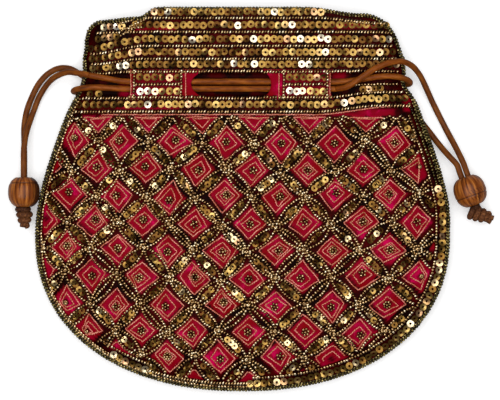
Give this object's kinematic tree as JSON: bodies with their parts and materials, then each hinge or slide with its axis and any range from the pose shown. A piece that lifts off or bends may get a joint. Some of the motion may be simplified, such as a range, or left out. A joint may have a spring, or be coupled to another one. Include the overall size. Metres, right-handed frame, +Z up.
{
  "type": "potli bag",
  "caption": "Beaded drawstring pouch lying flat, with a diamond lattice of sequins and beads, satin lining and leather drawcords ending in wooden beads.",
  "frame": {"origin": "on the surface the bag lies on, under the middle of the bag without its cords, beads and knots", "axes": "+X to the right along the bag's width, +Y towards the mouth, +Z up out of the front"},
  "size_m": [0.2675, 0.212, 0.0231],
  "materials": {
    "gold_beadwork": "crimson cloth covered with glass seed beads and sequins",
    "crimson_satin": "satin",
    "gold_sequins": "metallic sequins, olive gold",
    "edge_beads": "metallic seed beads, dark bronze gold",
    "tan_leather": "round cord, sienna brown",
    "lacquered_wood": "turned and lacquered, red brown",
    "dark_suede": "raw, dark brown"
  },
  "bodies": {
    "bag": {"front_panel": "gold_beadwork", "back_panel": "gold_beadwork", "front_lining": "crimson_satin", "back_lining": "crimson_satin", "front_left_tab": "gold_sequins", "front_right_tab": "gold_sequins", "back_left_tab": "gold_sequins", "back_right_tab": "gold_sequins", "seam_beading": "edge_beads", "left_drawcord": "tan_leather", "right_drawcord": "tan_leather", "left_knot": "dark_suede", "right_knot": "dark_suede"},
    "left_bead": {"left_bead": "lacquered_wood"},
    "right_bead": {"right_bead": "lacquered_wood"}
  },
  "joints": [
    {"name": "left_bead_slide", "type": "slide", "parent": "bag", "child": "left_bead", "axis": [0, 1, 0], "range_m": [0, 0.008]},
    {"name": "right_bead_slide", "type": "slide", "parent": "bag", "child": "right_bead", "axis": [-0.342, 0.9397, 0], "range_m": [0, 0.005]}
  ]
}
